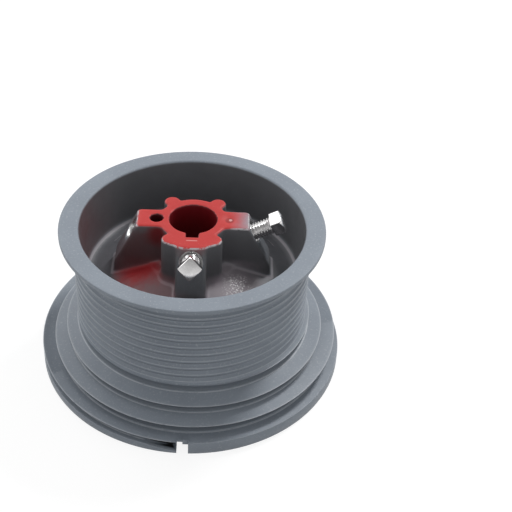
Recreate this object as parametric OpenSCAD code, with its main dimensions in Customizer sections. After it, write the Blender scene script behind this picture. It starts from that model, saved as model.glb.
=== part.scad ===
// High-lift garage door cable drum: one aluminium casting and its two square-head set screws.
// The bore axis is Z, the big flange rests on z = 0 and the open cup faces up.

/* [Winding] */
// crest radius of the plain helical grooves
crest_r = 65; // [62.5:0.5:67]
// distance from one plain groove to the next
groove_pitch = 4.9; // [4.2:0.1:5.6]
// depth of a plain groove
groove_depth = 1.2; // [0.6:0.1:1.6]
// flat land left between two plain grooves
land_w = 1.1; // [0.6:0.1:1.8]
// height of the first plain groove above the base at the slot
groove_z = 32.6; // [31:0.2:36]
// outer radius of the big flange
base_r = 86.2; // [84:0.2:92]
// height of the plain skirt beside the slot
skirt_h = 8.4; // [7.8:0.1:9.4]
// thickness of the flange under the last cable channel
lip_h = 4.4; // [3:0.1:5]
// height that the scroll climbs on each turn
scroll_rise = 8.9; // [8:0.05:9.2]
// width of the last cable channel at the slot
channel_w = 2.7; // [2:0.1:4]
// height of the overhanging step on the first full scroll turn
step_h = 7.3; // [6:0.1:7.8]
// extra radius of the outermost ridge opposite the slot
swell_r = 2.2; // [0:0.1:3]
// extra height of the outermost ridge opposite the slot
swell_z = 3.6; // [0:0.1:5]

/* [Rim and cup] */
// outer radius of the top rim
rim_r = 72.2; // [70:0.2:76]
// height of the rim's top face
rim_z = 88; // [86:0.2:96]
// thickness of the rim at its edge
rim_t = 2.3; // [1.6:0.1:3]
// inner wall radius at the top of the cup
cup_top_r = 61.2; // [59:0.1:61.4]
// inner wall radius at the cup floor
cup_floor_r = 59.5; // [56:0.1:59.6]
// height of the cup floor beside its wall
floor_z = 55.2; // [50:0.2:60]
// slope of the cup floor, from its wall up to the hub
floor_tilt = 19; // [10:0.5:22]
// fillet between the cup floor and its wall
floor_fillet = 4; // [2:0.5:6]
// rounding of the rim's inner edge
lip_round = 1.7; // [1:0.1:2]
// thickness of the web under the cup floor
web_t = 4; // [3:0.2:6]
// wall between the scroll and the hollow underside
shell_t = 3.5; // [3:0.1:4]

/* [Hub] */
// shaft diameter that the bore is made for
shaft_d = 25.4; // [24:0.1:26]
// radial clearance between shaft and bore
bore_clear = 0.15; // [0.05:0.01:0.3]
// height of the hub's top face
hub_z = 91.2; // [89:0.2:97]
// outer radius of the hub
hub_r = 18.6; // [17.8:0.1:20]
// radius of the hub's front face
hub_front_r = 25.6; // [25:0.2:28]
// outer radius of the barrel below the web
barrel_r = 22.5; // [20:0.5:25]
// radius of the four corner columns
column_r = 4.4; // [3.8:0.1:5]
// distance of the rear columns from the axis
column_rear = 20; // [18:0.5:22]
// distance of the front columns from the axis
column_front = 21.4; // [20:0.2:23]
// keyway width
key_w = 6.6; // [4:0.1:8]
// keyway depth beyond the bore wall
key_depth = 3.4; // [2:0.1:4]
// thickness of the ribs under the web
rib_t = 4; // [3:0.5:6]

/* [Arms] */
// width of an arm
arm_w = 15.8; // [14:0.2:18]
// where the side arms' flat tops end
arm_flat = 30; // [28:0.5:33]
// where the side arms end
arm_end = 42.5; // [40:0.5:48]
// where the front arm ends
front_end = 37.5; // [36:0.5:42]
// tilt of the arms' sloped faces, and of the screws, above the horizontal
screw_tilt = 27; // [22:0.5:30]
// distance down the slope from its top edge to the screw hole
screw_drop = 8.2; // [7.5:0.1:10]
// diameter of the blind hole in the left arm's top
pin_d = 7; // [4:0.1:8]
// distance of the blind hole and of the dimple from the axis
pin_at = 19.7; // [19:0.1:23]
// depth of the blind hole
pin_depth = 6; // [3:0.5:7]
// depth of the dimple in the right arm
dimple_depth = 1.2; // [0.5:0.1:3]

/* [Set screws] */
// thread diameter
screw_d = 9.5; // [8:0.1:10]
// radial clearance in the tapped holes
screw_clear = 0.06; // [0.03:0.01:0.1]
// gap left between a screw's point and the bore or keyway
tip_gap = 2.4; // [2.2:0.1:4]
// thread that stands out of the arm
screw_out = 10.2; // [8:0.2:12]
// width of the square head across its flats
head_w = 9.5; // [8:0.1:11]
// height of the square head
head_h = 6.8; // [5:0.1:9]
// mouth diameter of the countersunk holes
sink_d = 12.6; // [11:0.2:14]

/* [Cable slot] */
// width of the slot through the skirt
slot_w = 6.2; // [4:0.2:8]
// distance of the slot's centre to the left of the keyway line
slot_x = 1.7; // [0:0.1:6]
// depth of the slot into the skirt
slot_depth = 2.4; // [1.6:0.1:4]
// depth of the slot below the last channel, into the hollow underside
slot_through = 9; // [8.5:0.1:12]

/* [Hidden] */
$fn = 72;
e = 0.5;
steps = 48;
scroll_turns = 3;
bore_r = shaft_d / 2 + bore_clear;
edge_r = 0.6;
seam_angle = -90 - asin(slot_x / base_r);
rim_under = rim_z - rim_t;
turns = scroll_turns + 2 + ceil((rim_under - groove_z) / groove_pitch);
col_n = 3 + 4 * turns;
slope_run = tan(screw_tilt);
side_stop = bore_r;
front_stop = bore_r + key_depth;
groove_h = groove_pitch - land_w;
floor_edge_r = cup_floor_r - floor_fillet - floor_fillet * sin(floor_tilt);
floor_edge_z = floor_z + floor_fillet * (1 - cos(floor_tilt));
web_drop = web_t / cos(floor_tilt);
paint = [0.46, 0.49, 0.54];
zinc = [0.78, 0.79, 0.8];

// Radius and height of a scroll step's foot and of its overhanging ridge after t turns.
function foot_r(t) = lookup(t, [
  [0, base_r - channel_w],
  [scroll_turns, crest_r]
]);
function foot_z(t) = t < scroll_turns + 1
  ? lookup(t, [
      [0, lip_h],
      [1, skirt_h - 1],
      [scroll_turns, skirt_h - 1 + (scroll_turns - 1) * scroll_rise],
      [scroll_turns + 1, groove_z]
    ])
  : groove_z + (t - scroll_turns - 1) * groove_pitch;
function swell(t) = t < 1 ? sin(180 * t) : 0;
function step_z(t) = swell_z * swell(t) + lookup(t, [
  [0, skirt_h - lip_h],
  [1, step_h],
  [scroll_turns, groove_h + 1.5],
  [scroll_turns + 1, groove_h]
]);
function spiral_r(t) =
  base_r - (base_r - crest_r - 0.4) * t / scroll_turns + 0.48 * t * (scroll_turns - t);
function ridge_r(t) = t < scroll_turns
  ? min(base_r, spiral_r(t) + swell_r * swell(t))
  : lookup(t, [[scroll_turns, crest_r + 0.4], [scroll_turns + 1, crest_r]]);
function hollow(t) = lookup(t, [[0, 0.4], [scroll_turns, 0.7], [scroll_turns + 1, groove_depth]]);
// What rises past the rim's underside is squeezed into the rim.
function under_rim(z) = z < rim_under ? z : rim_under + (z - rim_under) * 0.2;
function turn_points(t) = [
  [foot_r(t), under_rim(foot_z(t))],
  [foot_r(t) - hollow(t), under_rim(foot_z(t) + 0.28 * step_z(t))],
  [min(foot_r(t), ridge_r(t)) - hollow(t) + 0.35 * (ridge_r(t) - foot_r(t)),
    under_rim(foot_z(t) + 0.68 * step_z(t))],
  [ridge_r(t), under_rim(foot_z(t) + step_z(t))]
];
function column_points(u, n) = concat(
  [
    [base_r - edge_r, 0],
    [base_r, edge_r],
    [base_r, lip_h + (skirt_h - lip_h) * u]
  ],
  [for (k = [0 : n - 1]) each turn_points(k + u)]
);
function at_angle(p, a) = [p[0] * cos(a), p[0] * sin(a), p[1]];

// Outer form of the drum: the helical grooves and the spiral scroll, swept clockwise from the slot.
module winding() {
  points = concat(
    [for (p = column_points(0, turns + 1)) at_angle(p, seam_angle)],
    [
      for (i = [1 : steps - 1])
        for (p = column_points(i / steps, turns))
          at_angle(p, seam_angle - 360 * i / steps)
    ],
    [[0, 0, rim_z - e]]
  );
  function at(i, j) = i == 0 ? j : 4 + i * col_n + j;
  function next(i, j) = i + 1 < steps ? at(i + 1, j) : (j < 2 ? j : j + 4);
  top = len(points) - 1;
  faces = concat(
    [
      for (i = [0 : steps - 1])
        for (j = [0 : col_n - 2])
          if (!(i == steps - 1 && j == 1))
            each [
              [at(i, j), next(i, j), next(i, j + 1)],
              [at(i, j), next(i, j + 1), at(i, j + 1)]
            ]
    ],
    [
      [at(steps - 1, 1), 1, 2],
      [at(steps - 1, 1), 2, at(steps - 1, 2)],
      [at(steps - 1, 2), 2, 6],
      [2, 3, 4, 5, 6]
    ],
    [[for (i = [steps - 1 : -1 : 0]) at(i, 0)]],
    [for (i = [0 : steps - 1]) [top, at(i, col_n - 1), next(i, col_n - 1)]],
    [for (j = [3 : -1 : 0]) [top, col_n + j, col_n + j - 1]]
  );
  polyhedron(points = points, faces = faces, convexity = 12);
}

// Points of an arc in a profile.
function arc_points(c, r, a0, a1, n = 8) = [
  for (k = [0 : n]) c + r * [cos(a0 + (a1 - a0) * k / n), sin(a0 + (a1 - a0) * k / n)]
];

module rim() {
  rotate_extrude()
    polygon([
      [0, rim_under - 2.5],
      [crest_r - 2, rim_under - 2.5],
      [crest_r + 0.2, rim_under - 0.9],
      [rim_r - 0.3, rim_under - 0.1],
      [rim_r, rim_under + 0.2],
      [rim_r, rim_z - 0.4],
      [rim_r - 0.4, rim_z],
      [0, rim_z]
    ]);
}

// Height of the sloped cup floor at radius r.
function cone_z(r) = floor_edge_z + (floor_edge_r - r) * tan(floor_tilt);

// Space inside the cup.
module cup_space() {
  rotate_extrude()
    polygon(concat(
      [[0, cone_z(hub_r)], [hub_r, cone_z(hub_r)]],
      arc_points([cup_floor_r - floor_fillet, floor_z + floor_fillet], floor_fillet, -90 - floor_tilt, -3),
      arc_points([cup_top_r + lip_round, rim_z - lip_round], lip_round, 180, 90),
      [[cup_top_r + lip_round, rim_z + 10], [0, rim_z + 10]]
    ));
}

// Hollow underside between the barrel and the shell.
module under_space() {
  wall_r = crest_r - groove_depth - shell_t + 0.2;
  foot_gap = shell_t / sin(atan(scroll_rise / ((base_r - channel_w - crest_r) / scroll_turns)));
  web_z = floor_z - web_t;
  rotate_extrude()
    polygon([
      [barrel_r + 1, -e],
      [barrel_r, cone_z(barrel_r + 3) - web_drop - 3],
      [barrel_r + 3, cone_z(barrel_r + 3) - web_drop],
      [wall_r - 6, cone_z(wall_r - 6) - web_drop],
      [wall_r - 2, web_z - 2],
      [wall_r - 0.6, web_z - 6],
      [wall_r, foot_z(scroll_turns)],
      [foot_r(1) - foot_gap, foot_z(1)],
      [foot_r(0) - foot_gap - 0.5, lip_h - 2],
      [foot_r(0) - foot_gap, -e]
    ]);
}

module under_ribs() {
  intersection() {
    under_space();
    for (a = [0 : 60 : 300])
      rotate([90, 0, a + 30])
        translate([0, 0, -rib_t / 2])
          linear_extrude(rib_t)
            polygon([
              [barrel_r - 2, 6],
              [crest_r - 10, 30],
              [crest_r - 1, 34],
              [crest_r - 1, cone_z(barrel_r)],
              [barrel_r - 2, cone_z(barrel_r)]
            ]);
  }
}

// An arm seen from its side, with its flat top ending at flat_r.
module arm(flat_r, end_r) {
  rotate([90, 0, 0])
    translate([0, 0, -arm_w / 2])
      linear_extrude(arm_w)
        polygon([
          [0, cone_z(barrel_r) - web_drop / 2],
          [barrel_r, cone_z(barrel_r) - web_drop / 2],
          [end_r, cone_z(end_r) - web_drop / 2],
          [end_r, hub_z - (end_r - flat_r) / slope_run],
          [flat_r, hub_z],
          [0, hub_z]
        ]);
}

// The direction of a screw: up and out, square to the sloped face, starting on that face.
module on_slope(flat_r) {
  translate([flat_r + screw_drop * sin(screw_tilt), 0, hub_z - screw_drop * cos(screw_tilt)])
    rotate([0, 90 - screw_tilt, 0])
      children();
}

module hub() {
  z0 = cone_z(hub_front_r) - web_drop / 2;
  translate([0, 0, z0])
    linear_extrude(hub_z - z0) {
      circle(hub_r);
      for (a = [49, 127])
        rotate(a)
          translate([column_rear, 0])
            circle(column_r, $fn = 36);
      for (a = [-123, -57])
        rotate(a)
          translate([column_front, 0])
            circle(column_r, $fn = 36);
      intersection() {
        circle(hub_front_r);
        translate([-column_front * 0.55, -hub_front_r - 1])
          square([column_front * 1.1, hub_front_r + 1]);
      }
    }
  arm(arm_flat, arm_end);
  rotate(180)
    arm(arm_flat, arm_end);
  rotate(-90)
    arm(hub_front_r, front_end);
}

module screw_hole(flat_r) {
  reach = flat_r / cos(screw_tilt);
  on_slope(flat_r) {
    translate([0, 0, -reach])
      cylinder(r = screw_d / 2 + screw_clear, h = reach + 6, $fn = 48);
    translate([0, 0, -1.4])
      cylinder(r1 = screw_d / 2 - 0.3, r2 = sink_d / 2 + 0.6, h = 2, $fn = 48);
  }
}

module drum() {
  color(paint)
    difference() {
      union() {
        difference() {
          union() {
            winding();
            rim();
          }
          cup_space();
          under_space();
        }
        hub();
        under_ribs();
      }
      translate([0, 0, -e])
        cylinder(r = bore_r, h = hub_z + 2 * e);
      translate([-key_w / 2, -front_stop, -e])
        cube([key_w, front_stop, hub_z + 2 * e]);
      screw_hole(arm_flat);
      rotate(180)
        screw_hole(arm_flat);
      rotate(-90)
        screw_hole(hub_front_r);
      translate([-pin_at, 0, hub_z - pin_depth])
        cylinder(d = pin_d, h = pin_depth + e, $fn = 36);
      translate([pin_at, 0, hub_z - dimple_depth])
        cylinder(d1 = pin_d - 1, d2 = pin_d + 1, h = dimple_depth + e, $fn = 36);
      translate([-slot_x - slot_w / 2, -base_r - e, -e])
        cube([slot_w, slot_depth + e, skirt_h + 2 * e]);
      translate([-slot_x - slot_w / 2, -base_r - e, -e])
        cube([slot_w, slot_through + e, lip_h + e]);
    }
}

// Length of thread inside an arm whose flat top ends at flat_r, up to the wall at stop_r.
function screw_in(flat_r, stop_r) =
  (flat_r + screw_drop * sin(screw_tilt) - stop_r) / cos(screw_tilt) - tip_gap;

// Square-head set screw along Z, its thread leaving the arm at z = 0.
module set_screw(inside) {
  tip = -inside;
  cup = 1.2;
  color(zinc) {
    difference() {
      union() {
        translate([0, 0, tip])
          cylinder(r1 = screw_d / 2 - cup, r2 = screw_d / 2, h = cup, $fn = 48);
        translate([0, 0, tip + cup])
          cylinder(d = screw_d, h = inside + screw_out - cup + 1, $fn = 48);
        intersection() {
          translate([-head_w / 2, -head_w / 2, screw_out])
            cube([head_w, head_w, head_h]);
          translate([0, 0, screw_out])
            cylinder(r1 = head_w * 0.6 + 2, r2 = head_w * 0.6, h = head_h, $fn = 48);
        }
      }
      translate([0, 0, tip - 0.1])
        cylinder(r1 = screw_d / 4, r2 = 0.2, h = 1.6, $fn = 36);
    }
  }
}

module set_screw_front() {
  rotate(-90)
    on_slope(hub_front_r)
      rotate(45)
        set_screw(screw_in(hub_front_r, front_stop));
}

module set_screw_side() {
  on_slope(arm_flat)
    rotate(12)
      set_screw(screw_in(arm_flat, side_stop));
}

drum();
set_screw_front();
set_screw_side();
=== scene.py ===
"""Looks of the high-lift cable drum: its casting, two set screws, floor, lights and camera."""

import math
from types import SimpleNamespace

import bpy
import numpy as np
from mathutils import Matrix, Vector


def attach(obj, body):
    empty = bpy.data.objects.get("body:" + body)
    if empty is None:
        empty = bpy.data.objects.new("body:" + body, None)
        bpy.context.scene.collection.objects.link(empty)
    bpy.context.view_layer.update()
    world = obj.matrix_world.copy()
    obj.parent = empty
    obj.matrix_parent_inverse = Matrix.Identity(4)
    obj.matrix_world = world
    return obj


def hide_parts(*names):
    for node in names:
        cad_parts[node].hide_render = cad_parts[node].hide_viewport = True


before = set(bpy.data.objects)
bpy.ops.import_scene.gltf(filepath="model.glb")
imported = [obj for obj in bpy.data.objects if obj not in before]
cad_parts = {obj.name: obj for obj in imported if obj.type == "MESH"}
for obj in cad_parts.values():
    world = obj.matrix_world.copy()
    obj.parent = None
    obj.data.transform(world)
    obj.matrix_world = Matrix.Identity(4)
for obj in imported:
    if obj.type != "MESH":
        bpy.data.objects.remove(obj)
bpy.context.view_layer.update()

MM = 0.001

# Sizes of the part in millimetres, as in its source. Only the flange's radius and the screws' heads are a
# little smaller here, so that what is seen stays inside the box of the solids.
CREST_R = 65.0
PITCH = 4.9
LAND = 1.1
GROOVE_Z = 32.6
GROOVE_DEPTH = 1.2
BASE_R = 86.04
SKIRT_H = 8.4
LIP_H = 4.4
RISE = 8.9
CHANNEL = 2.7
STEP_H = 7.3
SWELL_R = 2.2
SWELL_Z = 3.6
SCROLL_TURNS = 3
RIM_R = 72.2
RIM_Z = 88.0
RIM_T = 2.3
CUP_TOP_R = 61.2
CUP_FLOOR_R = 59.5
FLOOR_Z = 55.2
FLOOR_TILT = math.radians(19.0)
FLOOR_FILLET = 4.0
LIP_ROUND = 1.7
WEB_T = 4.0
SHELL_T = 3.5
BORE_R = 12.85
HUB_Z = 91.2
HUB_R = 18.6
BARREL_R = 22.5
COLUMN_R = 4.4
COLUMN_REAR = 20.0
COLUMN_FRONT = 21.4
KEY_W = 6.6
KEY_DEPTH = 3.4
RIB_T = 4.0
ARM_W = 15.8
ARM_FLAT = 30.0
ARM_END = 42.5
FRONT_FLAT = 25.6
FRONT_END = 37.5
TILT = math.radians(27.0)
SCREW_DROP = 8.2
SCREW_R = 4.75
HOLE_R = 4.81
SINK_R = 6.3
SCREW_OUT = 10.2
HEAD_W = 9.2
HEAD_H = 6.6
TIP_GAP = 2.4
PIN_AT = 19.7
PIN_R = 3.5
PIN_DEPTH = 6.0
SLOT_W = 6.2
SLOT_X = 1.7
SLOT_DEPTH = 2.4
SLOT_THROUGH = 9.0
SEAM = math.radians(-90.0) - math.asin(SLOT_X / BASE_R)

# Angles above which an edge is shaded sharp.
PLAIN_SHARP = math.radians(35.0)
CASTING_SHARP = math.radians(38.0)
SCREW_SHARP = math.radians(28.0)


def new_object(name, verts, faces, smooth_angle=PLAIN_SHARP):
    """Makes a mesh object from points in millimetres."""
    mesh = bpy.data.meshes.new(name)
    points = [tuple(v) for v in np.asarray(verts) * MM]
    corners = [tuple(int(i) for i in face) for face in faces]
    mesh.from_pydata(points, [], corners)
    mesh.validate()
    mesh.update()
    obj = bpy.data.objects.new(name, mesh)
    bpy.context.scene.collection.objects.link(obj)
    mesh.shade_smooth()
    mesh.set_sharp_from_angle(angle=smooth_angle)
    return obj


def apply_modifier(obj, modifier):
    with bpy.context.temp_override(object=obj, active_object=obj, selected_objects=[obj]):
        bpy.ops.object.modifier_apply(modifier=modifier.name)


def around(angle, profile):
    """Points of a profile of radii and heights, at an angle about the axis."""
    return [(p[0] * math.cos(angle), p[0] * math.sin(angle), p[1]) for p in profile]


# The winding: one turn of the scroll or of the plain groove, as points from its foot up to its ridge.

# Rows: outward from the foot, outward share of the overhang, height in mm, height as a share of the step, and
# painted light, which is 1 where a painted highlight goes and -1 where painted shade goes.
SCROLL_TURN = [
    (1.5, 0.0, -0.05, 0.0, 0.3),
    (0.75, 0.0, 0.22, 0.0, 1.0),
    (0.25, 0.0, 0.24, 0.0, 0.9),
    (-0.25, 0.0, 0.1, 0.08, -1.0),
    (-0.6, 0.0, 0.0, 0.26, -1.0),
    (-0.6, 0.1, 0.0, 0.44, -1.0),
    (-0.5, 0.3, 0.0, 0.6, -1.0),
    (-0.3, 0.58, 0.0, 0.76, -0.8),
    (-0.1, 0.86, 0.0, 0.9, -0.2),
    (0.0, 0.97, 0.0, 0.955, 0.95),
    (0.0, 1.0, -0.1, 0.985, 1.0),
    (-0.45, 1.0, 0.0, 1.0, 0.8),
]
# Rows: outward from the crest, height as a share of the groove, and painted light: above 0 a painted
# highlight, below 0 painted shade.
PLAIN_TURN = [
    (0.0, -0.06, 0.75),
    (-0.02, 0.0, 0.9),
    (-0.14, 0.06, 0.75),
    (-0.4, 0.13, 0.0),
    (-0.8, 0.24, 0.0),
    (-1.1, 0.37, 0.0),
    (-1.2, 0.5, -0.2),
    (-1.1, 0.63, -0.8),
    (-0.8, 0.76, -1.0),
    (-0.4, 0.87, -1.0),
    (-0.14, 0.94, -1.0),
    (-0.02, 1.0, -0.4),
]
PER_TURN = len(PLAIN_TURN)
WINDING_STEPS = 180
GROOVE_H = PITCH - LAND
TOP_GAP = 1.1
TOP_Z = RIM_Z - RIM_T - TOP_GAP
TOP_SQUEEZE = 0.03
TURNS = SCROLL_TURNS + 1 + math.ceil((TOP_Z - GROOVE_Z) / PITCH)
PLAIN_LEAD = 0.15

# Heights of the scroll's first foot, first step and last step, against the skirt and the groove.
FOOT_DROP = 1.0
FIRST_STEP_LOSS = 0.5
LAST_STEP_GAIN = 1.5

# The ridge's spiral: how far it ends outside the crest, bulges on its way and starts inside the flange.
RIDGE_OUT = 0.4
RIDGE_BULGE = 0.48
RIDGE_START_IN = 0.7
RIDGE_START_FADE = 6.0
RIDGE_INSET = 0.02
# First row of a turn that belongs to the ridge.
RIDGE_FROM = 9

# Beside the slot, where the cable enters, the channel dips and widens over a short run, and painted shadow
# darkens it there.
NOTCH_Z = 3.1
NOTCH_R = 2.6
NOTCH_RUN = 0.04
NOTCH_SHADOW = 4.0


def foot_r(t):
    return float(np.interp(t, [0, SCROLL_TURNS], [BASE_R - CHANNEL, CREST_R]))


def notch(t):
    """Share by which the channel is opened up, t turns after the slot."""
    return max(0.0, 1.0 - t / NOTCH_RUN)


def foot_z(t):
    if t >= SCROLL_TURNS + 1:
        return GROOVE_Z + (t - SCROLL_TURNS - 1) * PITCH
    first = SKIRT_H - FOOT_DROP
    last = first + (SCROLL_TURNS - 1) * RISE
    height = np.interp(t, [0, 1, SCROLL_TURNS, SCROLL_TURNS + 1], [LIP_H, first, last, GROOVE_Z])
    return float(height) - NOTCH_Z * notch(t)


def swell(t):
    """The outermost ridge stands out most opposite the slot."""
    return math.sin(math.pi * t) if t < 1.0 else 0.0


def step_z(t):
    turns = [0, 1, SCROLL_TURNS, SCROLL_TURNS + 1]
    first = SKIRT_H - LIP_H - FIRST_STEP_LOSS
    height = np.interp(t, turns, [first, STEP_H, GROOVE_H + LAST_STEP_GAIN, GROOVE_H])
    return float(height) + SWELL_Z * swell(t) + NOTCH_Z * notch(t)


def ridge_r(t):
    if t < SCROLL_TURNS:
        line = BASE_R - (BASE_R - CREST_R - RIDGE_OUT) * t / SCROLL_TURNS
        start = RIDGE_START_IN * max(0.0, 1.0 - RIDGE_START_FADE * t)
        spiral = line + RIDGE_BULGE * t * (SCROLL_TURNS - t) - start
        return min(BASE_R, spiral + SWELL_R * swell(t))
    return float(np.interp(t, [SCROLL_TURNS, SCROLL_TURNS + 1], [CREST_R + RIDGE_OUT, CREST_R]))


def squeeze(z):
    """What rises past the rim's underside is squeezed into a sliver below it."""
    return z if z < TOP_Z else TOP_Z + (z - TOP_Z) * TOP_SQUEEZE


def turn_points(t):
    """Radius, height and painted light value of the points of one turn, t turns after the slot."""
    fr = foot_r(t) - NOTCH_R * notch(t)
    rr = ridge_r(t)
    fz = foot_z(t)
    h = step_z(t)
    plain = float(np.clip(t - SCROLL_TURNS + PLAIN_LEAD, 0.0, 1.0))
    points = []
    for k, ((a, b, c, d, scroll_painted_light), (e, f, plain_painted_light)) in enumerate(zip(SCROLL_TURN, PLAIN_TURN)):
        r = (1.0 - plain) * (fr + a + b * (rr - fr)) + plain * (CREST_R + e)
        z = fz + (1.0 - plain) * (c + d * h) + plain * f * h
        painted_light = (1.0 - plain) * scroll_painted_light + plain * plain_painted_light
        # Painted shadow in the channel beside the slot, on the rows below the ridge.
        if k < RIDGE_FROM:
            painted_light -= NOTCH_SHADOW * notch(t)
        points.append((min(r, BASE_R - RIDGE_INSET), squeeze(z), painted_light))
    return points


def base_points(u):
    """Radius, height and painted light value of the flange's outer edge, at a share u of a turn after the
    slot.
    """
    top = LIP_H + (SKIRT_H - LIP_H) * u - NOTCH_Z * notch(u)
    return [
        (BASE_R - 0.7, 0.0, 0.0),
        (BASE_R - 0.2, 0.2, 0.2),
        (BASE_R, 0.7, 0.0),
        (BASE_R, top - 0.75, 0.0),
        (BASE_R - 0.18, top - 0.22, 0.9),
        (BASE_R - 0.65, top, 0.5),
    ]


BASE_N = len(base_points(0.0))
# Rows of the flange's edge that don't rise from one end of the turn to the other.
BASE_LEVEL = 3


def arc(cr, cz, r, a0, a1, n):
    """Points of an arc in a profile, angles in degrees."""
    angles = np.radians(np.linspace(a0, a1, n))
    return [(cr + r * math.cos(a), cz + r * math.sin(a)) for a in angles]


FLOOR_EDGE_R = CUP_FLOOR_R - FLOOR_FILLET * (1.0 + math.sin(FLOOR_TILT))
FLOOR_EDGE_Z = FLOOR_Z + FLOOR_FILLET * (1.0 - math.cos(FLOOR_TILT))
WEB_DROP = WEB_T / math.cos(FLOOR_TILT)


def cone_z(r):
    """Height of the sloped cup floor at radius r."""
    return FLOOR_EDGE_Z + (FLOOR_EDGE_R - np.maximum(r, HUB_R)) * math.tan(FLOOR_TILT)


RIM_LOW_ROUND = 0.45
RIM_LOW_LIFT = 0.4
RIM_TOP_ROUND = 0.6
CUP_ROWS = 8
# Radii where the outer casting runs into the hub's floor, and how far it covers it.
JOIN_RADII = (53.0, 50.5)
JOIN_LAP = 0.02
# The fillet between web and wall on the underside: inward from the wall, down from the web.
UNDER_FILLET = ((6.0, JOIN_LAP), (3.2, 0.9), (1.4, 3.0), (0.6, 6.0))
UNDER_DRAFT = 0.2
UNDER_MID_Z = 36.0


def inner_profile():
    """From the rim's underside over the rim, down the cup and back along the hollow underside."""
    under = RIM_Z - RIM_T
    web_z = FLOOR_Z - WEB_T
    run = (BASE_R - CHANNEL - CREST_R) / SCROLL_TURNS
    gap = SHELL_T / math.sin(math.atan2(RISE, run))
    wall = CREST_R - GROOVE_DEPTH - SHELL_T + UNDER_DRAFT
    out = [(CREST_R + 0.5, under - 0.75), (CREST_R + 3.0, under - 0.45), (RIM_R - 1.0, under - 0.1)]
    out += arc(RIM_R - RIM_LOW_ROUND, under + RIM_LOW_LIFT, RIM_LOW_ROUND, -80, 0, 5)
    out += arc(RIM_R - RIM_TOP_ROUND, RIM_Z - RIM_TOP_ROUND, RIM_TOP_ROUND, 0, 90, 6)
    out += [(RIM_R - 3.0, RIM_Z), (CUP_TOP_R + LIP_ROUND + 3.0, RIM_Z)]
    out += arc(CUP_TOP_R + LIP_ROUND, RIM_Z - LIP_ROUND, LIP_ROUND, 90, 180, 10)
    cup_h = RIM_Z - LIP_ROUND - FLOOR_Z - FLOOR_FILLET
    for k in range(1, CUP_ROWS):
        s = k / CUP_ROWS
        out.append((CUP_TOP_R + (CUP_FLOOR_R - CUP_TOP_R) * s, RIM_Z - LIP_ROUND - s * cup_h))
    floor_turn = -90 - math.degrees(FLOOR_TILT)
    out += arc(CUP_FLOOR_R - FLOOR_FILLET, FLOOR_Z + FLOOR_FILLET, FLOOR_FILLET, 0, floor_turn, 11)
    out += [(r, cone_z(r) + JOIN_LAP) for r in JOIN_RADII]
    out += [(r, cone_z(r) - WEB_DROP - JOIN_LAP) for r in reversed(JOIN_RADII)]
    out += [(wall - inward, web_z - down) for inward, down in UNDER_FILLET]
    out += [(wall - UNDER_DRAFT, UNDER_MID_Z), (wall, foot_z(SCROLL_TURNS)), (foot_r(1) - gap, foot_z(1))]
    foot = foot_r(0) - gap
    out += [(foot - 0.5, LIP_H - 2.0), (foot - 0.1, 0.5), (foot + 0.4, 0.0)]
    return out


def winding_mesh():
    """The outer casting as a closed grid of columns round the whole section, with the painted light value of
    its points.
    """
    angles = [SEAM - 2.0 * math.pi * i / WINDING_STEPS for i in range(WINDING_STEPS)]
    inner = inner_profile()
    verts = []
    painted_light = []
    start = []
    for i, angle in enumerate(angles):
        u = i / WINDING_STEPS
        outer = base_points(u)
        for k in range(TURNS + 1 if i == 0 else TURNS):
            outer += turn_points(k + u)
        start.append(len(verts))
        verts += around(angle, outer)
        painted_light += [p[2] for p in outer]
    inner_start = []
    for angle in angles:
        inner_start.append(len(verts))
        verts += around(angle, inner)
        painted_light += [0.0] * len(inner)
    seam_start = len(verts)
    seam_edge = base_points(1.0)[BASE_LEVEL:]
    verts += around(SEAM, seam_edge)
    painted_light += [p[2] for p in seam_edge]
    rows = BASE_N + PER_TURN * TURNS
    last = WINDING_STEPS - 1

    def at(i, j):
        return start[i] + j

    def beside(i, j):
        """The point in the next column. Past the last one that is the first column, a turn higher."""
        if i < last:
            return at(i + 1, j)
        if j < BASE_LEVEL:
            return at(0, j)
        if j < BASE_N:
            return seam_start + j - BASE_LEVEL
        return at(0, j + PER_TURN)

    faces = []
    for i in range(WINDING_STEPS):
        for j in range(rows - 1):
            faces.append((at(i, j), at(i, j + 1), beside(i, j + 1), beside(i, j)))
    # The wall that closes the seam between the flange's two ends.
    wall = [at(0, j) for j in range(BASE_LEVEL - 1, BASE_N + PER_TURN + 1)]
    wall += [seam_start + j for j in range(BASE_N - BASE_LEVEL - 1, -1, -1)]
    faces.append(tuple(wall))
    inner_n = len(inner)
    for i in range(WINDING_STEPS):
        k = (i + 1) % WINDING_STEPS
        for j in range(inner_n - 1):
            p = inner_start[i] + j
            q = inner_start[k] + j
            faces.append((p, p + 1, q + 1, q))
        faces.append((at(i, rows - 1), inner_start[i], inner_start[k], beside(i, rows - 1)))
        faces.append((inner_start[i] + inner_n - 1, at(i, 0), at(k, 0), inner_start[k] + inner_n - 1))
    faces.append(tuple([inner_start[0]] + [at(0, rows - 1 + j) for j in range(PER_TURN + 1)]))
    return np.array(verts), faces, painted_light


# The hub, arms, floor, barrel and ribs: a distance field, so that all of them run into each other with
# the fillets of a casting.

# Corner columns: angle in degrees and distance from the axis.
COLUMNS = ((49.0, COLUMN_REAR), (127.0, COLUMN_REAR), (-123.0, COLUMN_FRONT), (-57.0, COLUMN_FRONT))
FRONT_HALF_W = 12.2
HUB_SINK = 2.0
WEB_R = 51.5
BARREL_LAP = 1.0
FLARE_H = 60
HOLE_STOP = 4.0
SINK_SLOPE = 0.7071
SINK_DEPTH = 3.0
KEY_MID = 8.0
DIMPLE_RISE = 8.0
DIMPLE_R = 8.9

# Draft, as widening per millimetre downwards.
HUB_DRAFT = 0.014
ARM_DRAFT = 0.012
BARREL_DRAFT = 0.012

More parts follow.
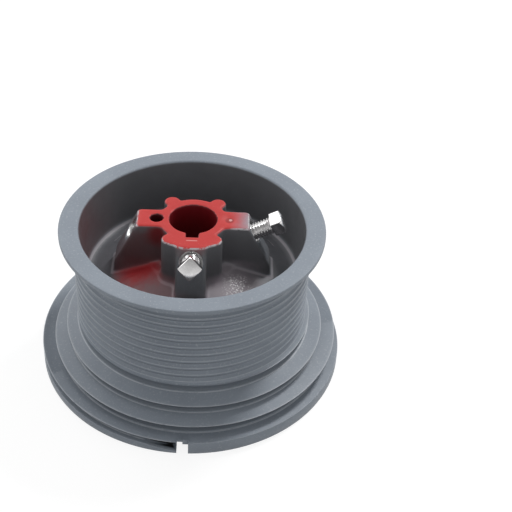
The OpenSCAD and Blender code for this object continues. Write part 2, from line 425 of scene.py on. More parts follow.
# Ribs: first angle and step in degrees, reach, overlap with the floor, and the lower edge.
RIB_FIRST = 30.0
RIB_STEP = 60.0
RIB_PAIRS = 3
RIB_IN_R = 18.0
RIB_OUT_R = 61.6
RIB_LAP = 1.5
RIB_EDGE_R = [20.5, 55.0, 64.0]
RIB_EDGE_Z = [6.0, 30.0, 34.0]
RIB_EDGE_SLOPE = 0.82

# Fillets between parts, and rounding of outer edges.
COLUMN_FILLET = 1.8
FRONT_FILLET = 1.2
ARM_FILLET = 2.0
WEB_FILLET = 3.0
BARREL_FILLET = 4.0
RIB_FILLET = 3.0
FRONT_ROUND = 0.8
ARM_END_ROUND = 1.0
ARM_SIDE_ROUND = 1.6
TOP_ROUND = 1.5
BARREL_ROUND = 1.2
RIB_ROUND = 1.6
CUT_ROUND = 0.9


def smooth_min(a, b, k):
    h = np.maximum(k - np.abs(a - b), 0.0) / k
    return np.minimum(a, b) - h * h * k * 0.25


def smooth_max(a, b, k):
    return -smooth_min(-a, -b, k)


def arm_field(along, across, z, flat, end, reach):
    """An arm up to end, whose sloped face starts where reach passes flat."""
    draft = (HUB_Z - z) * ARM_DRAFT
    side = np.abs(across) - ARM_W / 2 - draft
    slope = (reach - flat) * math.cos(TILT) + (z - HUB_Z) * math.sin(TILT)
    d = smooth_max(slope, along - end - draft, ARM_END_ROUND)
    d = smooth_max(d, side, ARM_SIDE_ROUND)
    return np.maximum(d, -along)


def screw_point(flat):
    """Radius and height where a screw leaves an arm's sloped face."""
    return flat + SCREW_DROP * math.sin(TILT), HUB_Z - SCREW_DROP * math.cos(TILT)


def hole_field(along, across, z, flat):
    """Tapped hole with its countersink, negative inside."""
    r0, z0 = screw_point(flat)
    s = (along - r0) * math.cos(TILT) + (z - z0) * math.sin(TILT)
    v = -(along - r0) * math.sin(TILT) + (z - z0) * math.cos(TILT)
    rad = np.hypot(v, across)
    hole = np.maximum(rad - HOLE_R, -(along - HOLE_STOP))
    sink = np.maximum((rad - SINK_R - s) * SINK_SLOPE, -(s + SINK_DEPTH))
    return np.minimum(hole, sink)


def body_field(x, y, z, rad):
    """The hub with its columns, front face and arms."""
    draft = (HUB_Z - z) * HUB_DRAFT
    d = rad - HUB_R - draft
    for angle, dist in COLUMNS:
        cx = dist * math.cos(math.radians(angle))
        cy = dist * math.sin(math.radians(angle))
        d = smooth_min(d, np.hypot(x - cx, y - cy) - COLUMN_R - draft, COLUMN_FILLET)
    front = smooth_max(rad - FRONT_FLAT - draft, np.abs(x) - FRONT_HALF_W, FRONT_ROUND)
    d = smooth_min(d, np.maximum(front, y), FRONT_FILLET)
    right_arm = arm_field(x, y, z, ARM_FLAT, ARM_END, x)
    left_arm = arm_field(-x, y, z, ARM_FLAT, ARM_END, -x)
    front_arm = arm_field(-y, x, z, FRONT_FLAT, FRONT_END, rad)
    for arm in (right_arm, left_arm, front_arm):
        d = smooth_min(d, arm, ARM_FILLET)
    return smooth_max(d, z - HUB_Z, TOP_ROUND)


def rib_field(x, y, z, floor, angle):
    """Two opposite ribs under the floor."""
    u = np.abs(x * math.cos(angle) + y * math.sin(angle))
    v = np.abs(-x * math.sin(angle) + y * math.cos(angle))
    low = np.interp(u, RIB_EDGE_R, RIB_EDGE_Z)
    rib = smooth_max(v - RIB_T / 2, (low - z) * RIB_EDGE_SLOPE, RIB_ROUND)
    rib = np.maximum(np.maximum(rib, z - floor + RIB_LAP), u - RIB_OUT_R)
    return np.maximum(rib, RIB_IN_R - u)


def cut_field(x, y, z, rad):
    """Bore, keyway, tapped holes, pin hole and dimple, negative inside."""
    key = np.maximum(np.abs(x) - KEY_W / 2, np.abs(y + KEY_MID) - (BORE_R + KEY_DEPTH - KEY_MID))
    cut = np.minimum(rad - BORE_R, key)
    for along, across, flat in ((x, y, ARM_FLAT), (-x, y, ARM_FLAT), (-y, x, FRONT_FLAT)):
        cut = np.minimum(cut, hole_field(along, across, z, flat))
    pin = np.maximum(np.hypot(x + PIN_AT, y) - PIN_R, HUB_Z - PIN_DEPTH - z)
    dimple = np.sqrt((x - PIN_AT) ** 2 + y**2 + (z - HUB_Z - DIMPLE_RISE) ** 2) - DIMPLE_R
    return np.minimum(np.minimum(cut, pin), dimple)


def hub_field(x, y, z):
    """Everything inside the outer casting, negative in the metal."""
    rad = np.hypot(x, y)
    floor = cone_z(rad)
    d = np.maximum(body_field(x, y, z, rad), floor - HUB_SINK - z)
    web = np.maximum(z - floor, floor - WEB_DROP - z) * math.cos(FLOOR_TILT)
    d = smooth_min(d, np.maximum(web, rad - WEB_R), WEB_FILLET)
    flare = np.clip(FLOOR_Z - z, 0, FLARE_H) * BARREL_DRAFT
    barrel = np.maximum(rad - BARREL_R - flare, z - floor + BARREL_LAP)
    d = smooth_min(d, smooth_max(barrel, -z, BARREL_ROUND), BARREL_FILLET)
    for k in range(RIB_PAIRS):
        angle = math.radians(RIB_FIRST + RIB_STEP * k)
        d = smooth_min(d, rib_field(x, y, z, floor, angle), RIB_FILLET)
    return smooth_max(d, -cut_field(x, y, z, rad), CUT_ROUND)


def surface_nets(field, low, high, cell):
    """A closed quad mesh of the field's zero level."""
    axes = [np.arange(a, b + cell, cell) for a, b in zip(low, high)]
    grid = np.meshgrid(*axes, indexing="ij")
    f = field(*grid)
    inside = f < 0.0
    dims = np.array(f.shape) - 1
    corners = [(i, j, k) for i in (0, 1) for j in (0, 1) for k in (0, 1)]

    def corner(values, c):
        return values[c[0] : c[0] + dims[0], c[1] : c[1] + dims[1], c[2] : c[2] + dims[2]]

    # One point for each cell that the surface passes through, amid the crossings of its edges.
    count = sum(corner(inside, c).astype(np.int8) for c in corners)
    active = (count > 0) & (count < len(corners))
    index = -np.ones(dims, dtype=np.int64)
    index[active] = np.arange(active.sum())
    cells = np.argwhere(active)
    total = np.zeros((len(cells), 3))
    hits = np.zeros(len(cells))
    for c in corners:
        for axis in range(3):
            if c[axis]:
                continue
            d = list(c)
            d[axis] = 1
            fa = corner(f, c)[active]
            fb = corner(f, tuple(d))[active]
            cross = (fa < 0) != (fb < 0)
            share = np.where(cross, fa / np.where(cross, fa - fb, 1.0), 0.0)
            point = np.tile(np.array(c, dtype=float), (len(cells), 1))
            point[:, axis] += share
            total += point * cross[:, None]
            hits += cross
    verts = (cells + total / hits[:, None]) * cell + np.array([a[0] for a in axes])

    # One quad for each grid edge that the surface crosses, between the four cells round it.
    faces = []
    for axis in range(3):
        b = (axis + 1) % 3
        c = (axis + 2) % 3
        s0 = [slice(None)] * 3
        s1 = [slice(None)] * 3
        s0[axis] = slice(0, -1)
        s1[axis] = slice(1, None)
        a0 = inside[tuple(s0)]
        a1 = inside[tuple(s1)]
        for flip, edges in ((False, a0 & ~a1), (True, ~a0 & a1)):
            e = np.argwhere(edges)
            e = e[(e[:, b] > 0) & (e[:, c] > 0) & (e[:, b] < dims[b]) & (e[:, c] < dims[c])]
            quad = []
            for db, dc in ((-1, -1), (0, -1), (0, 0), (-1, 0)):
                q = e.copy()
                q[:, b] += db
                q[:, c] += dc
                quad.append(index[q[:, 0], q[:, 1], q[:, 2]])
            quad = np.stack(quad, 1)
            faces.append(quad[:, ::-1] if flip else quad)
    return verts, np.concatenate(faces)


def settle(field, verts, rounds=4, reach=0.04, least_slope=0.25, longest=0.5):
    """Moves the points onto the field's zero level."""
    p = verts.copy()
    for _ in range(rounds):
        f = field(*p.T)
        grad = []
        for step in np.eye(3) * reach:
            grad.append((field(*(p + step).T) - field(*(p - step).T)) / (2 * reach))
        g = np.stack(grad, 1)
        size = np.maximum((g * g).sum(1), least_slope)
        move = -(f / size)[:, None] * g
        length = np.linalg.norm(move, axis=1)
        p += move * np.minimum(1.0, longest / np.maximum(length, 1e-6))[:, None]
    return p


# The slot's two cuts: how far in from the flange's edge, and from which height to which.
SLOT_CUTS = (
    (SLOT_THROUGH, -1.0, LIP_H + 0.5),
    (SLOT_DEPTH, LIP_H - 0.4, SKIRT_H + 5.6),
)
SLOT_PAST = 5.0
BOX_FACES = [(0, 1, 3, 2), (4, 6, 7, 5), (0, 4, 5, 1), (2, 3, 7, 6), (0, 2, 6, 4), (1, 5, 7, 3)]
HUB_LOW = (-63, -63, -1.7)
HUB_HIGH = (63, 63, 93.5)
HUB_CELL = 0.85
HUB_KEEP = 0.46


def cut_slot(shell):
    x0 = -SLOT_X - SLOT_W / 2
    x1 = -SLOT_X + SLOT_W / 2
    far = BASE_R + SLOT_PAST
    for depth, z0, z1 in SLOT_CUTS:
        near = BASE_R - depth
        points = [(x, -y, z) for x in (x0, x1) for y in (far, near) for z in (z0, z1)]
        cutter = new_object("slot_cutter", points, BOX_FACES)
        cut = shell.modifiers.new("slot", "BOOLEAN")
        cut.operation = "DIFFERENCE"
        cut.solver = "EXACT"
        cut.object = cutter
        apply_modifier(shell, cut)
        bpy.data.objects.remove(cutter, do_unlink=True)


def make_hub():
    verts, faces = surface_nets(hub_field, HUB_LOW, HUB_HIGH, HUB_CELL)
    hub = new_object("hub_part", settle(hub_field, verts), faces)
    thin = hub.modifiers.new("thin", "DECIMATE")
    thin.ratio = HUB_KEEP
    apply_modifier(hub, thin)
    return hub


def make_drum():
    verts, faces, painted_light = winding_mesh()
    shell = new_object("drum_casting", verts, faces)
    shell.data.attributes.new("painted_light", "FLOAT", "POINT").data.foreach_set("value", painted_light)
    cut_slot(shell)
    pieces = [shell, make_hub()]
    with bpy.context.temp_override(
        active_object=shell, object=shell, selected_objects=pieces, selected_editable_objects=pieces
    ):
        bpy.ops.object.join()
    mesh = shell.data
    mesh.shade_smooth()
    mesh.set_sharp_from_angle(angle=CASTING_SHARP)
    return shell


# The set screws

THREAD_PITCH = 1.5875
THREAD_DEPTH = 0.8
THREAD_INSET = 0.03
THREAD_ROWS = 8
RUN_OUT = 1.2
POINT_SHARE = 0.72
POINT_RUN = 1.6
NECK = 0.4
NECK_INSET = 0.15
HEAD_STEPS = 72
HEAD_CORNER = 0.25
HEAD_EDGE = 0.35
# The head's upper edge: inset and drop of its two rings, then the crown that its chamfer starts from.
HEAD_TOP = ((0.0, 0.37), (0.22, 0.12))
CROWN = 0.93
CROWN_TOP = 0.94
CHAMFER = 0.3


def screw_in(flat, stop):
    """Length of thread inside an arm, up to the wall at radius stop."""
    return (flat + SCREW_DROP * math.sin(TILT) - stop) / math.cos(TILT) - TIP_GAP


def square_r(a, half):
    """Radius of a square with clipped corners."""
    flat = half / max(abs(math.cos(a)), abs(math.sin(a)))
    return min(flat, half * math.sqrt(2.0) - HEAD_CORNER)


def thread_r(z, a, low, high):
    """Radius of the thread, with its run-out under the head and its tapered point."""
    phase = z / THREAD_PITCH - a / (2.0 * math.pi)
    wave = 0.5 - 0.5 * math.cos(2.0 * math.pi * phase)
    depth = THREAD_DEPTH * min(1.0, max(0.0, (high - z) / RUN_OUT))
    point = min(1.0, POINT_SHARE + (1.0 - POINT_SHARE) * (z - low) / POINT_RUN)
    return (SCREW_R - THREAD_INSET - depth * wave) * point


def make_screw(name, inside):
    """Threaded square-head set screw along Z, the thread leaving the arm at z = 0."""
    low = -inside
    high = SCREW_OUT - NECK
    angles = [2.0 * math.pi * i / HEAD_STEPS for i in range(HEAD_STEPS)]
    rows = math.ceil((high - low) / THREAD_PITCH * THREAD_ROWS)
    half = HEAD_W / 2
    top = SCREW_OUT + HEAD_H
    crown_r = half * CROWN
    rings = []
    for k in range(rows + 1):
        z = low + (high - low) * k / rows
        rings.append([(thread_r(z, a, low, high), z) for a in angles])
    rings.append([(SCREW_R - NECK_INSET, SCREW_OUT)] * HEAD_STEPS)
    rings.append([(square_r(a, half - HEAD_EDGE), SCREW_OUT) for a in angles])
    rings.append([(square_r(a, half), SCREW_OUT + HEAD_EDGE) for a in angles])
    for inset, drop in HEAD_TOP:
        radii = [square_r(a, half - inset) for a in angles]
        rings.append([(r, top - drop - max(0.0, r - crown_r) * CHAMFER) for r in radii])
    rings.append([(crown_r * CROWN_TOP, top)] * HEAD_STEPS)
    verts = []
    for ring in rings:
        verts += [(r * math.cos(a), r * math.sin(a), z) for (r, z), a in zip(ring, angles)]
    faces = []
    for n in range(len(rings) - 1):
        b = n * HEAD_STEPS
        for i in range(HEAD_STEPS):
            k = (i + 1) % HEAD_STEPS
            faces.append((b + i, b + k, b + HEAD_STEPS + k, b + HEAD_STEPS + i))
    cap = (len(rings) - 1) * HEAD_STEPS
    faces.append(tuple(range(HEAD_STEPS - 1, -1, -1)))
    faces.append(tuple(cap + i for i in range(HEAD_STEPS)))
    return new_object(name, verts, faces, SCREW_SHARP)


def place_screw(obj, flat, turn, spin):
    """Stands a screw on its arm: out along the arm at angle turn, spun about its own axis."""
    r0, z0 = screw_point(flat)
    m = Matrix.Rotation(math.radians(turn), 4, "Z")
    m = m @ Matrix.Translation(Vector((r0, 0.0, z0)) * MM)
    m = m @ Matrix.Rotation(math.pi / 2 - TILT, 4, "Y") @ Matrix.Rotation(math.radians(spin), 4, "Z")
    obj.data.transform(m)


# Materials


class Nodes:
    """A short way to build a material's node tree."""

    def __init__(self, name):
        self.material = bpy.data.materials.new(name)
        self.material.use_nodes = True
        self.tree = self.material.node_tree
        self.shader = self.tree.nodes["Principled BSDF"]

    def add(self, kind, **values):
        node = self.tree.nodes.new(kind)
        for key, value in values.items():
            if hasattr(node, key):
                setattr(node, key, value)
            else:
                node.inputs[key].default_value = value
        return node

    def link(self, source, target):
        self.tree.links.new(source, target)

    def put(self, value, target):
        """Sets a socket to a number, or links it to another node's output."""
        if isinstance(value, (int, float)):
            target.default_value = value
        else:
            self.link(value, target)

    def math(self, op, *values):
        node = self.add("ShaderNodeMath", operation=op)
        for value, target in zip(values, node.inputs):
            self.put(value, target)
        return node.outputs[0]

    def ramp(self, source, low, high):
        node = self.add("ShaderNodeMapRange", interpolation_type="SMOOTHSTEP")
        self.link(source, node.inputs["Value"])
        node.inputs["From Min"].default_value = low
        node.inputs["From Max"].default_value = high
        return node.outputs["Result"]

    def mix(self, factor, a, b):
        node = self.add("ShaderNodeMix", data_type="RGBA")
        self.put(factor, node.inputs["Factor"])
        for slot, value in (("A", a), ("B", b)):
            socket = [s for s in node.inputs if s.name == slot and s.type == "RGBA"][0]
            if isinstance(value, tuple):
                socket.default_value = (*value, 1.0)
            else:
                self.link(value, socket)
        return [s for s in node.outputs if s.type == "RGBA"][0]

    def noise(self, scale, detail=3.0, rough=0.55):
        node = self.add("ShaderNodeTexNoise", Scale=scale, Detail=detail, Roughness=rough)
        self.link(self.coords, node.inputs["Vector"])
        return node.outputs["Fac"]

    def bump(self, height, strength, distance):
        node = self.add("ShaderNodeBump", Strength=strength, Distance=distance)
        self.link(height, node.inputs["Height"])
        self.link(node.outputs["Normal"], self.shader.inputs["Normal"])

    def use_coords(self):
        """Object position, distance from the axis and upward share of the normal, for the masks."""
        node = self.add("ShaderNodeTexCoord")
        self.coords = node.outputs["Object"]
        split = self.add("ShaderNodeSeparateXYZ")
        self.link(self.coords, split.inputs[0])
        self.x, self.y, self.z = split.outputs
        flat = self.add("ShaderNodeCombineXYZ")
        self.link(self.x, flat.inputs[0])
        self.link(self.y, flat.inputs[1])
        length = self.add("ShaderNodeVectorMath", operation="LENGTH")
        self.link(flat.outputs[0], length.inputs[0])
        self.rad = length.outputs["Value"]
        normal = self.add("ShaderNodeSeparateXYZ")
        self.link(self.add("ShaderNodeNewGeometry").outputs["Normal"], normal.inputs[0])
        self.nz = normal.outputs[2]


def spot(n, centre, radius, soft, ragged):
    """Soft mask: 1 near a centre, 0 beyond its radius, with a ragged edge."""
    node = n.add("ShaderNodeVectorMath", operation="DISTANCE")
    n.link(n.coords, node.inputs[0])
    node.inputs[1].default_value = centre
    wander = n.math("MULTIPLY_ADD", n.noise(120.0, 4.0, 0.6), ragged, -ragged / 2)
    far = n.math("ADD", node.outputs["Value"], wander)
    return below(n, far, radius - soft, radius)


def both(n, *masks):
    """Product of masks."""
    out = masks[0]
    for mask in masks[1:]:
        out = n.math("MULTIPLY", out, mask)
    return out


def below(n, value, low, high):
    """Soft mask: 1 under low, 0 above high."""
    return n.math("SUBTRACT", 1.0, n.ramp(value, low, high))


def coat(n, colour, tint, share, *masks):
    """Lays a tint over a colour where all the masks are, at a share of its full strength."""
    mask = both(n, *masks)
    if share < 1.0:
        mask = n.math("MULTIPLY", mask, share)
    return n.mix(mask, colour, tint)


# Colours that noise or height blends between.
PAINT_TONES = ((0.245, 0.278, 0.323), (0.27, 0.306, 0.353))
CUP_WALL_SHADE_TONES = ((0.11, 0.112, 0.12), (0.15, 0.152, 0.162))
CUP_FLOOR_TONES = ((0.12, 0.124, 0.138), (0.17, 0.172, 0.188))
CORAL_TONES = ((0.5, 0.028, 0.026), (0.58, 0.04, 0.037))
BORE_TONES = ((0.09, 0.092, 0.098), (0.17, 0.005, 0.009))
ZINC_TONES = ((0.7, 0.69, 0.69), (0.86, 0.85, 0.85))

# Tints of single coats.
SPECK = (0.42, 0.45, 0.49)
GROOVE_SHADE = (0.085, 0.1, 0.118)
HOLLOW_SHADOW = (0.006, 0.006, 0.007)
RIDGE_HIGHLIGHT = (0.55, 0.58, 0.62)
FILLET_HIGHLIGHT = (0.42, 0.4, 0.43)
CORAL_DUST = (0.7, 0.26, 0.25)
DIMPLE_SHADE = (0.22, 0.012, 0.012)
GLINT = (0.8, 0.5, 0.48)
BARE_LOBE = (0.5, 0.42, 0.45)
PINK = (0.46, 0.2, 0.215)
RED = (0.58, 0.016, 0.022)
MAUVE = (0.36, 0.315, 0.35)
DEEP_RED = (0.2, 0.006, 0.01)
MAROON = (0.12, 0.03, 0.03)
SLOPE_TINT = (0.3, 0.12, 0.13)
MIST = (0.16, 0.045, 0.05)
PIN_RED = (0.08, 0.006, 0.008)
WORN = (0.55, 0.53, 0.55)
CAST_LINE = (0.75, 0.4, 0.38)
GLINT_SPECKS = (0.9, 0.88, 0.9)
BARE_METAL = (0.78, 0.78, 0.78)

# Places on the drum, in metres: centre, radius, soft edge and raggedness of each spot.
HUB_TOP = HUB_Z * MM
CUP_FLOOR = FLOOR_Z * MM
RAGGED = 0.012
DIMPLE_SPOT = ((PIN_AT * MM, 0.0, HUB_TOP), 0.0028, 0.0008, 0.0)
GLINT_SPOT = (((PIN_AT + 0.5) * MM, 0.0006, HUB_TOP - 0.0008), 0.0012, 0.0006, 0.0)
PIN_SPOT = ((-PIN_AT * MM, 0.0, HUB_TOP - 0.003), 0.0062, 0.0004, 0.0)
LOBE_SPOT = ((0.0135, -0.0195, HUB_TOP), 0.006, 0.005, RAGGED)
PINK_SPOT = ((-0.024, -0.026, 0.061), 0.03, 0.024, RAGGED)
RED_SPOT = ((-0.028, -0.009, 0.063), 0.0205, 0.015, RAGGED)
MAUVE_SPOT = ((0.021, -0.022, 0.063), 0.026, 0.018, RAGGED)
RED_SIDE_SPOT = ((-0.0185, -0.0085, 0.085), 0.0095, 0.007, 0.006)
MAROON_SPOT = ((-0.024, -0.0085, 0.075), 0.02, 0.012, RAGGED)
SLOPE_SPOT = ((0.0, -0.026, 0.0905), 0.009, 0.008, RAGGED)
MIST_SPOT = ((-0.06, 0.0, 0.07), 0.05, 0.045, RAGGED)
GLINT_SPECK_SPOT = ((0.0245, -0.0215, 0.063), 0.0105, 0.008, RAGGED)

# Limits that masks fade between: positions and radii in metres, and the upward share of the normal.
CUP_R = (0.0612, 0.0625)
CUP_START_Z = (CUP_FLOOR - 0.005, CUP_FLOOR - 0.001)
CUP_LOW_Z = (0.067, 0.072)
BORE_EDGE_R = (0.0166, 0.0172)
BORE_RED_Z = (0.035, 0.06)
TOP_FACE_Z = (HUB_TOP - 0.0022, HUB_TOP - 0.0014)
TOP_EDGE_Z = (HUB_TOP - 0.0013, HUB_TOP - 0.0007)
TOP_EDGE_R = (0.0175, 0.0185)
RED_START_X = (-0.0315, -0.029)
RED_END_X = (0.022, 0.038)
RED_END_WANDER = 0.006
FLOOR_AHEAD_Y = (-0.0095, -0.0078)
ARM_SIDE_Y = (-0.004, -0.002)
WORN_FRONT_Y = (-0.018, -0.012)
WORN_RIGHT_X = (0.018, 0.024)
WORN_LEFT_X = (-0.03, -0.0285)
LINE_HALF_LENGTH = (0.0026, 0.0032)
LINE_HALF_WIDTH = (0.0002, 0.0005)
LINE_Y = -0.0195
FACES_UP = (0.3, 0.8)
NOT_DOWN = (-0.3, -0.1)
FILLET_HIGHLIGHT_NORMAL = ((0.52, 0.68), (0.82, 0.92))
EDGE_NORMAL = ((0.15, 0.35), (0.82, 0.93))


def shared_masks(n):
    """Masks that several coats use."""
    m = SimpleNamespace()
    m.upward = n.ramp(n.nz, *FACES_UP)
    m.not_under = n.ramp(n.nz, *NOT_DOWN)
    m.inside = both(n, below(n, n.rad, *CUP_R), n.ramp(n.z, *CUP_START_Z), m.not_under)
    m.low = both(n, m.inside, below(n, n.z, *CUP_LOW_Z))
    # Walls inside the cup that don't face up: they get painted shade.
    m.thin = both(n, m.inside, n.math("SUBTRACT", 1.0, m.upward))
    m.on_top = both(n, n.ramp(n.z, *TOP_FACE_Z), m.upward)
    m.not_top = n.math("SUBTRACT", 1.0, m.on_top)
    m.dust = n.ramp(n.noise(700.0, 3.0, 0.7), 0.6, 0.8)
    return m


def outer_paint(n):
    """Blue-grey paint with light specks, painted shade under the ridges and in the grooves, painted shadow in
    the channel beside the slot, and painted highlights on the ridges' edges, as the painted light value says.
    """
    tone = n.ramp(n.noise(38.0, 4.0), 0.3, 0.7)
    colour = n.mix(tone, *PAINT_TONES)
    colour = coat(n, colour, SPECK, 0.5, n.ramp(n.noise(900.0, 2.0, 0.6), 0.55, 0.74))
    painted_light = n.add("ShaderNodeAttribute", attribute_name="painted_light").outputs["Fac"]
    painted_shade = n.math("MULTIPLY", painted_light, -1.0)
    # Painted shade under the ridges and in the grooves.
    colour = coat(n, colour, GROOVE_SHADE, 0.75, n.ramp(painted_shade, 0.1, 1.0))
    # Painted shadow, nearly black, in the channel beside the slot.
    colour = coat(n, colour, HOLLOW_SHADOW, 1.0, n.ramp(painted_shade, 1.1, 1.8))
    # Painted highlights along the ridges' edges, in patches.
    patches = n.ramp(n.noise(220.0, 4.0, 0.7), 0.2, 0.5)
    return coat(n, colour, RIDGE_HIGHLIGHT, 0.85, n.ramp(painted_light, 0.72, 0.98), patches)


def cup_paint(n, m, colour):
    """Inside the cup: painted shade on the walls that don't face up, a darker floor, and a painted highlight
    along the fillets where they meet.
    """
    # Painted shade: darker charcoal tones on the cup's walls.
    colour = n.mix(m.thin, colour, n.mix(n.noise(60.0), *CUP_WALL_SHADE_TONES))
    colour = coat(n, colour, n.mix(n.noise(90.0), *CUP_FLOOR_TONES), 1.0, m.low, m.upward)
    # Painted highlight along the fillets between the cup's floor and its walls, arms and columns.
    over, under = FILLET_HIGHLIGHT_NORMAL
    return coat(n, colour, FILLET_HIGHLIGHT, 0.8, m.low, n.ramp(n.nz, *over), below(n, n.nz, *under))


def red_paint(n, m, colour):
    """The red spray: hub top, bore, left arm's side, and the cup's floor in front of that arm."""
    edge_x = n.math("MULTIPLY_ADD", n.noise(150.0, 4.0, 0.6), RED_END_WANDER, n.x)
    coral = n.mix(n.noise(70.0, 4.0), *CORAL_TONES)
    coral = coat(n, coral, CORAL_DUST, 0.35, m.dust)
    colour = coat(n, colour, coral, 1.0, m.on_top, below(n, edge_x, *RED_END_X), n.ramp(n.x, *RED_START_X))
    # Painted shade in the dimple on the right arm; beside it, a painted highlight.
    colour = coat(n, colour, DIMPLE_SHADE, 0.6, spot(n, *DIMPLE_SPOT), m.on_top)
    colour = coat(n, colour, GLINT, 0.7, spot(n, *GLINT_SPOT), m.on_top)
    colour = coat(n, colour, BARE_LOBE, 0.7, spot(n, *LOBE_SPOT), m.on_top, m.dust)
    ahead = below(n, n.y, *FLOOR_AHEAD_Y)
    colour = coat(n, colour, PINK, 0.5, spot(n, *PINK_SPOT), ahead, m.low)
    colour = coat(n, colour, RED, 0.9, spot(n, *RED_SPOT), ahead, m.low)
    # Mauve on the floor's right front: its own tint, and partly a painted pool of light, lighter than the
    # floor round it.
    colour = coat(n, colour, MAUVE, 0.85, spot(n, *MAUVE_SPOT), m.low)
    arm_side = below(n, n.y, *ARM_SIDE_Y)
    colour = coat(n, colour, DEEP_RED, 1.0, spot(n, *RED_SIDE_SPOT), m.thin, arm_side)
    colour = coat(n, colour, MAROON, 0.5, spot(n, *MAROON_SPOT), m.thin, arm_side)
    colour = coat(n, colour, SLOPE_TINT, 0.5, spot(n, *SLOPE_SPOT), m.thin)
    colour = coat(n, colour, MIST, 1.0, spot(n, *MIST_SPOT), m.thin, n.noise(25.0))
    bore_red = n.mix(n.ramp(n.z, *BORE_RED_Z), *BORE_TONES)
    colour = coat(n, colour, bore_red, 1.0, below(n, n.rad, *BORE_EDGE_R), m.not_top, m.not_under)
    return coat(n, colour, PIN_RED, 1.0, spot(n, *PIN_SPOT), m.not_top)


def worn_paint(n, m, colour):
    """Worn edges of the hub's top, the short cast line before the keyway, and painted glints on the cup's
    floor.
    """
    over, under = EDGE_NORMAL
    edge = both(n, n.ramp(n.z, *TOP_EDGE_Z), n.ramp(n.nz, *over))
    edge = both(n, edge, below(n, n.nz, *under), n.ramp(n.rad, *TOP_EDGE_R))
    front = n.math("MAXIMUM", below(n, n.y, *WORN_FRONT_Y), n.ramp(n.x, *WORN_RIGHT_X))
    front = n.math("MAXIMUM", front, below(n, n.x, *WORN_LEFT_X))
    colour = coat(n, colour, WORN, 1.0, edge, front, n.ramp(n.noise(320.0, 4.0, 0.7), 0.4, 0.56))
    along = below(n, n.math("ABSOLUTE", n.x), *LINE_HALF_LENGTH)
    across = below(n, n.math("ABSOLUTE", n.math("ADD", n.y, -LINE_Y)), *LINE_HALF_WIDTH)
    colour = coat(n, colour, CAST_LINE, 0.6, m.on_top, along, across)
    # Painted glints: light specks on the floor's right front.
    glint_specks = n.ramp(n.noise(1100.0, 2.0, 0.5), 0.52, 0.64)
    return coat(n, colour, GLINT_SPECKS, 1.0, spot(n, *GLINT_SPECK_SPOT), glint_specks, m.upward)


def bare_metal(n):
    """Mask of the countersinks, where the drill left bare metal."""
    mask = None
    for flat, turn in ((ARM_FLAT, 0.0), (ARM_FLAT, 180.0), (FRONT_FLAT, -90.0)):
        r0, z0 = screw_point(flat)
        a = math.radians(turn)
        centre = (r0 * math.cos(a) * MM, r0 * math.sin(a) * MM, z0 * MM)
        hole = spot(n, centre, SINK_R * MM + 0.0002, 0.0004, 0.0)
        mask = hole if mask is None else n.math("MAXIMUM", mask, hole)
    return mask


def paint_material():
    n = Nodes("drum_paint")
    n.use_coords()
    bare = bare_metal(n)
    masks = shared_masks(n)
    colour = cup_paint(n, masks, outer_paint(n))
    colour = red_paint(n, masks, colour)
    colour = worn_paint(n, masks, colour)
    n.link(n.mix(bare, colour, BARE_METAL), n.shader.inputs["Base Color"])
    n.link(bare, n.shader.inputs["Metallic"])
    rough = n.math("MULTIPLY_ADD", n.noise(300.0, 3.0), 0.2, 0.38)
    rough = n.math("SUBTRACT", rough, n.math("MULTIPLY", bare, 0.2))
    n.link(rough, n.shader.inputs["Roughness"])
    grain = n.math("MULTIPLY", n.noise(1400.0, 3.0, 0.65), 0.4)
    waves = n.math("MULTIPLY", n.noise(150.0, 2.0), 0.8)
    n.bump(n.math("ADD", grain, waves), 0.32, 0.00035)
    n.shader.inputs["Specular IOR Level"].default_value = 0.4
    return n.material


def zinc_material():
    n = Nodes("screw_zinc")
    n.use_coords()
    tone = n.ramp(n.noise(240.0, 4.0), 0.3, 0.75)
    n.link(n.mix(tone, *ZINC_TONES), n.shader.inputs["Base Color"])
    n.shader.inputs["Metallic"].default_value = 1.0
    rough = n.math("MULTIPLY_ADD", n.noise(500.0, 3.0), 0.14, 0.12)
    n.link(rough, n.shader.inputs["Roughness"])
    n.bump(n.noise(900.0, 3.0), 0.08, 0.0002)
    return n.material


def dress(obj, material, body, node):
    obj.data.materials.clear()
    obj.data.materials.append(material)
    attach(obj, body)
    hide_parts(node)


# How far each screw is turned about its own axis, in degrees.
SIDE_SPIN = 12.0
FRONT_SPIN = 45.0

drum = make_drum()
dress(drum, paint_material(), "casting", "drum")
zinc = zinc_material()
side_screw = make_screw("side_set_screw", screw_in(ARM_FLAT, BORE_R))
place_screw(side_screw, ARM_FLAT, 0.0, SIDE_SPIN)
dress(side_screw, zinc, "side_screw", "set_screw_side")
front_screw = make_screw("front_set_screw", screw_in(FRONT_FLAT, BORE_R + KEY_DEPTH))
place_screw(front_screw, FRONT_FLAT, -90.0, FRONT_SPIN)
dress(front_screw, zinc, "front_screw", "set_screw_front")


# Floor, light and camera

FLOOR_HALF = 4.0
FLOOR_ROUGH = 0.9
FLOOR_WHITE = 0.75
FLOOR_GLOW = 1.14
# The floor's colour as it lights the part, and as it is seen.
FLOOR_DIM = (0.35, 0.35, 0.35)
FLOOR_SEEN = (0.9, 0.9, 0.9)

# Each light's name, place, size and power. Places are in metres.
LIGHTS = (
    ("left_light", (-0.92, 0.82, 1.02), 1.5, 8.5),
    ("right_light", (0.7, 0.75, 1.35), 0.4, 13.0),
)
LIGHT_AIM = (0.0, 0.0, 0.06)
# The sky's strength fades from the horizon up.
SKY_FADE = {"From Max": 0.75, "To Min": 0.88, "To Max": 0.36}

# Camera fitted to the photograph: lengths in millimetres, focal length in pixels of a square picture.
CAMERA_TURN = math.radians(2.0)
CAMERA_DIST = 441.5
CAMERA_HEIGHT = 415.43
CAMERA_PITCH = math.radians(38.283)
CAMERA_YAW = math.radians(4.547)
CAMERA_ROLL = math.radians(-3.371)
FOCAL_PX = 1012.9
PICTURE_PX = 512.0
SENSOR_W = 36.0
CLIP_START = 0.01


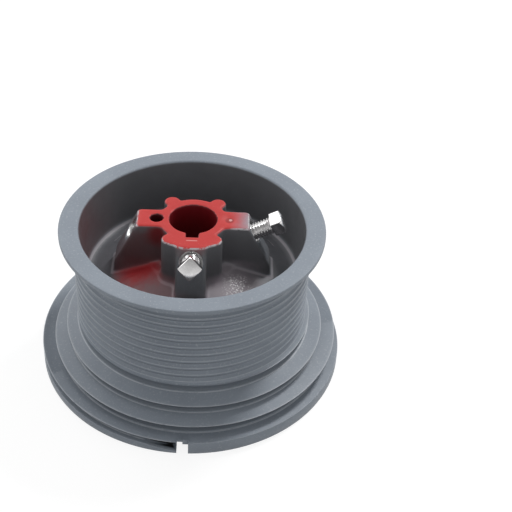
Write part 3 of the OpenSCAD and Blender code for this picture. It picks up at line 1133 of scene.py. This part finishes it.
def make_floor():
    """A floor that is seen nearly white and still keeps the part's shadow."""
    corners = [(-1.0, -1.0, 0.0), (1.0, -1.0, 0.0), (1.0, 1.0, 0.0), (-1.0, 1.0, 0.0)]
    floor = new_object("floor", np.array(corners) * FLOOR_HALF / MM, [(0, 1, 2, 3)])
    n = Nodes("floor_white")
    n.shader.inputs["Roughness"].default_value = FLOOR_ROUGH
    path = n.add("ShaderNodeLightPath")
    seen = n.math("MAXIMUM", path.outputs["Is Camera Ray"], path.outputs["Is Glossy Ray"])
    seen = n.math("MAXIMUM", seen, path.outputs["Is Transmission Ray"])
    n.link(n.mix(seen, FLOOR_DIM, FLOOR_SEEN), n.shader.inputs["Base Color"])
    white = n.add("ShaderNodeEmission", Strength=FLOOR_GLOW)
    shade = n.add("ShaderNodeMixShader")
    n.link(n.math("MULTIPLY", seen, FLOOR_WHITE), shade.inputs[0])
    n.link(n.shader.outputs[0], shade.inputs[1])
    n.link(white.outputs[0], shade.inputs[2])
    n.link(shade.outputs[0], n.tree.nodes["Material Output"].inputs["Surface"])
    floor.data.materials.append(n.material)


def area_light(name, place, size, watts):
    light = bpy.data.lights.new(name, "AREA")
    light.shape = "DISK"
    light.size = size
    light.energy = watts
    obj = bpy.data.objects.new(name, light)
    obj.location = place
    obj.rotation_euler = (Vector(LIGHT_AIM) - Vector(place)).to_track_quat("-Z", "Y").to_euler()
    bpy.context.scene.collection.objects.link(obj)


def make_sky():
    world = bpy.data.worlds.new("studio")
    world.use_nodes = True
    tree = world.node_tree
    back = tree.nodes["Background"]
    back.inputs["Color"].default_value = (1.0, 1.0, 1.0, 1.0)
    split = tree.nodes.new("ShaderNodeSeparateXYZ")
    tree.links.new(tree.nodes.new("ShaderNodeTexCoord").outputs["Generated"], split.inputs[0])
    fade = tree.nodes.new("ShaderNodeMapRange")
    tree.links.new(split.outputs["Z"], fade.inputs["Value"])
    for name, value in SKY_FADE.items():
        fade.inputs[name].default_value = value
    tree.links.new(fade.outputs["Result"], back.inputs["Strength"])
    bpy.context.scene.world = world


def make_camera():
    ahead = math.cos(CAMERA_PITCH)
    forward = Vector((math.sin(CAMERA_YAW) * ahead, math.cos(CAMERA_YAW) * ahead, -math.sin(CAMERA_PITCH)))
    right = forward.cross(Vector((0.0, 0.0, 1.0))).normalized()
    down = forward.cross(right)
    rolled_right = right * math.cos(CAMERA_ROLL) + down * math.sin(CAMERA_ROLL)
    rolled_down = -right * math.sin(CAMERA_ROLL) + down * math.cos(CAMERA_ROLL)
    axes = Matrix((rolled_right, -rolled_down, -forward)).transposed().to_4x4()
    cam = bpy.data.cameras.new("camera")
    cam.sensor_width = SENSOR_W
    cam.lens = FOCAL_PX / PICTURE_PX * SENSOR_W
    cam.clip_start = CLIP_START
    obj = bpy.data.objects.new("camera", cam)
    spin = Matrix.Rotation(CAMERA_TURN, 4, "Z")
    place = Matrix.Translation(Vector((0.0, -CAMERA_DIST, CAMERA_HEIGHT)) * MM)
    obj.matrix_world = spin @ place @ axes
    bpy.context.scene.collection.objects.link(obj)
    bpy.context.scene.camera = obj


make_floor()
for row in LIGHTS:
    area_light(*row)
make_sky()
make_camera()
bpy.context.scene.view_settings.view_transform = "Standard"
